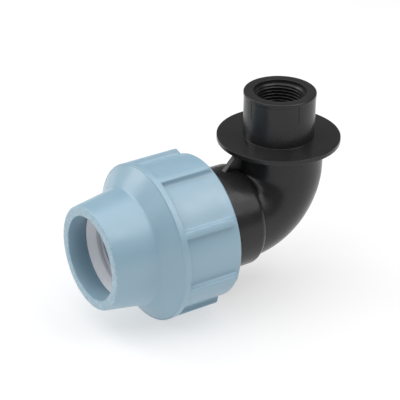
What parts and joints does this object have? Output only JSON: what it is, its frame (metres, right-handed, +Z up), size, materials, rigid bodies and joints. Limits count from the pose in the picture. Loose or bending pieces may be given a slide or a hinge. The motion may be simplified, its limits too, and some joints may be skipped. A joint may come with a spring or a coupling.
{
  "type": "elbow fitting",
  "caption": "Ninety-degree compression elbow for plastic pipe: ribbed blue nut with grip ring on a black body, flanged boss with a female pipe thread.",
  "frame": {"origin": "on the axis of the outlet's threaded bore, where its thread starts at the bottom of the recess in its mouth", "axes": "+Z up along the leg, out of the threaded outlet; -X along the arm, out of the pipe socket; Y across"},
  "size_m": [0.1495, 0.0842, 0.1079],
  "materials": {
    "body_plastic": "satin moulded black",
    "nut_plastic": "satin moulded light blue",
    "ring_plastic": "satin moulded white",
    "bush_plastic": "satin moulded dark grey",
    "seal_rubber": "matt black"
  },
  "bodies": {
    "fitting_body": {"elbow_body": "body_plastic", "thrust_bush": "bush_plastic", "seal_ring": "seal_rubber"},
    "ring_carrier": {"grip_ring": "ring_plastic"},
    "nut": {"coupling_nut": "nut_plastic"}
  },
  "joints": [
    {"name": "nut_travel", "type": "slide", "parent": "fitting_body", "child": "ring_carrier", "axis": [-1, 0, 0], "range_m": [0, 0.0175]},
    {"name": "nut_turn", "type": "hinge", "parent": "ring_carrier", "child": "nut", "pos_m": [-0.08, 0, -0.0638], "axis": [-1, 0, 0], "range_deg": [0, 1260]}
  ],
  "couplings": [
    {"joint": "nut_travel", "follows": "nut_turn", "m_per_rad": 0.00079577}
  ]
}
